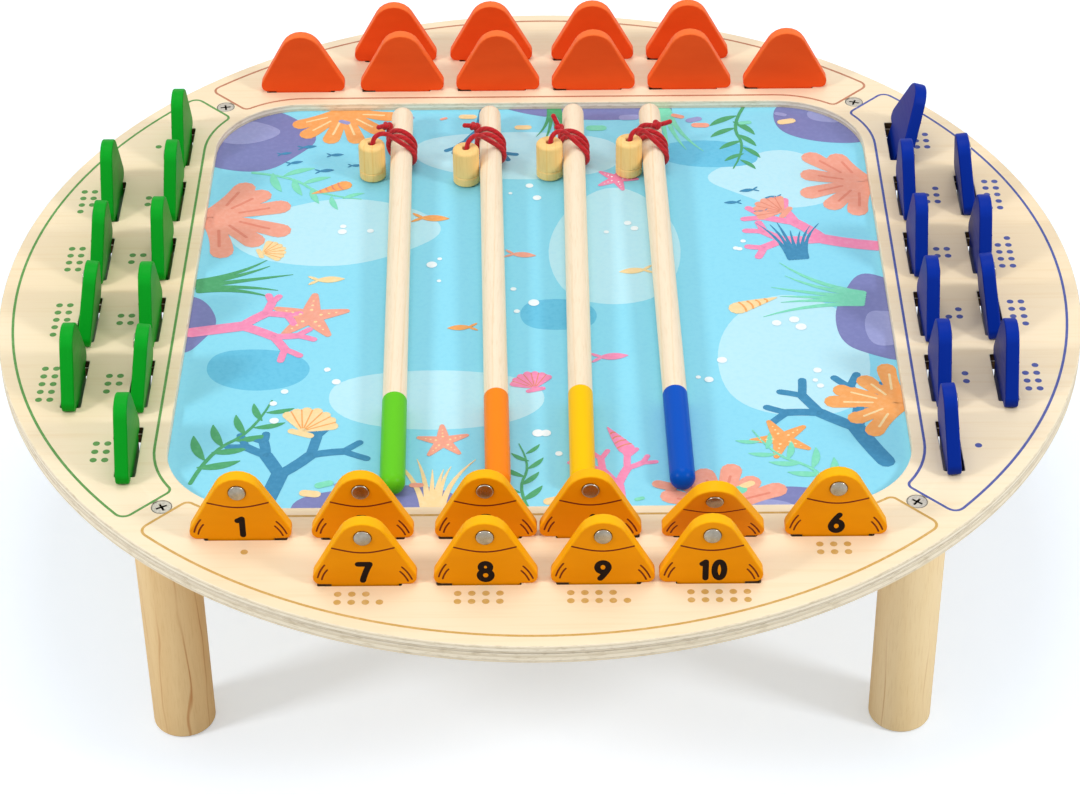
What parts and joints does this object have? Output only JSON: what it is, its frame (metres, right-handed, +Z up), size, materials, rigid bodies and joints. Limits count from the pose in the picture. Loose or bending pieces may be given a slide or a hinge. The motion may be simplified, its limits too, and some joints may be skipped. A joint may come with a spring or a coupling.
{
  "type": "magnetic fishing game",
  "caption": "Round wooden table with a sunken pond, numbered wooden fish in slots round it and rods with a red cord and a magnetic bobbin.",
  "frame": {"origin": "on the floor below the middle of the table", "axes": "+Z up, -Y to the front, where the yellow fish are, +X to the right as seen from the front"},
  "size_m": [0.4999, 0.5, 0.1553],
  "materials": {
    "plywood": "satin clear lacquer",
    "printed_board": "printed, matt lacquer",
    "leg_wood": "sanded, satin lacquer",
    "screw_steel": "zinc plated",
    "yellow_fish_wood": "painted, satin",
    "blue_fish_wood": "painted, satin",
    "red_fish_wood": "painted, satin",
    "green_fish_wood": "painted, satin",
    "disc_steel": "satin",
    "rod_wood": "sanded, ends dipped in paint",
    "bobbin_wood": "sanded",
    "magnet": "nickel plated",
    "red_cord": "twisted cord"
  },
  "bodies": {
    "root": {"ring_board": "plywood", "base_board": "printed_board", "leg_front_left": "leg_wood", "leg_front_right": "leg_wood", "leg_back_left": "leg_wood", "leg_back_right": "leg_wood", "leg_screws": "screw_steel", "fish_yellow_1": "yellow_fish_wood", "fish_yellow_2": "yellow_fish_wood", "fish_yellow_3": "yellow_fish_wood", "fish_yellow_4": "yellow_fish_wood", "fish_yellow_5": "yellow_fish_wood", "fish_yellow_6": "yellow_fish_wood", "fish_yellow_7": "yellow_fish_wood", "fish_yellow_8": "yellow_fish_wood", "fish_yellow_9": "yellow_fish_wood", "fish_yellow_10": "yellow_fish_wood", "fish_blue_1": "blue_fish_wood", "fish_blue_2": "blue_fish_wood", "fish_blue_3": "blue_fish_wood", "fish_blue_4": "blue_fish_wood", "fish_blue_5": "blue_fish_wood", "fish_blue_6": "blue_fish_wood", "fish_blue_7": "blue_fish_wood", "fish_blue_8": "blue_fish_wood", "fish_blue_9": "blue_fish_wood", "fish_blue_10": "blue_fish_wood", "fish_red_1": "red_fish_wood", "fish_red_2": "red_fish_wood", "fish_red_3": "red_fish_wood", "fish_red_4": "red_fish_wood", "fish_red_5": "red_fish_wood", "fish_red_6": "red_fish_wood", "fish_red_7": "red_fish_wood", "fish_red_8": "red_fish_wood", "fish_red_9": "red_fish_wood", "fish_red_10": "red_fish_wood", "fish_green_1": "green_fish_wood", "fish_green_2": "green_fish_wood", "fish_green_3": "green_fish_wood", "fish_green_4": "green_fish_wood", "fish_green_5": "green_fish_wood", "fish_green_6": "green_fish_wood", "fish_green_7": "green_fish_wood", "fish_green_8": "green_fish_wood", "fish_green_9": "green_fish_wood", "fish_green_10": "green_fish_wood", "fish_discs": "disc_steel", "rod_green": "rod_wood", "rod_orange": "rod_wood", "rod_yellow": "rod_wood", "rod_blue": "rod_wood", "bobbin_green": "bobbin_wood", "bobbin_orange": "bobbin_wood", "bobbin_yellow": "bobbin_wood", "bobbin_blue": "bobbin_wood", "bobbin_magnets": "magnet", "cord_windings": "red_cord", "cord_leads": "red_cord"}
  },
  "joints": []
}
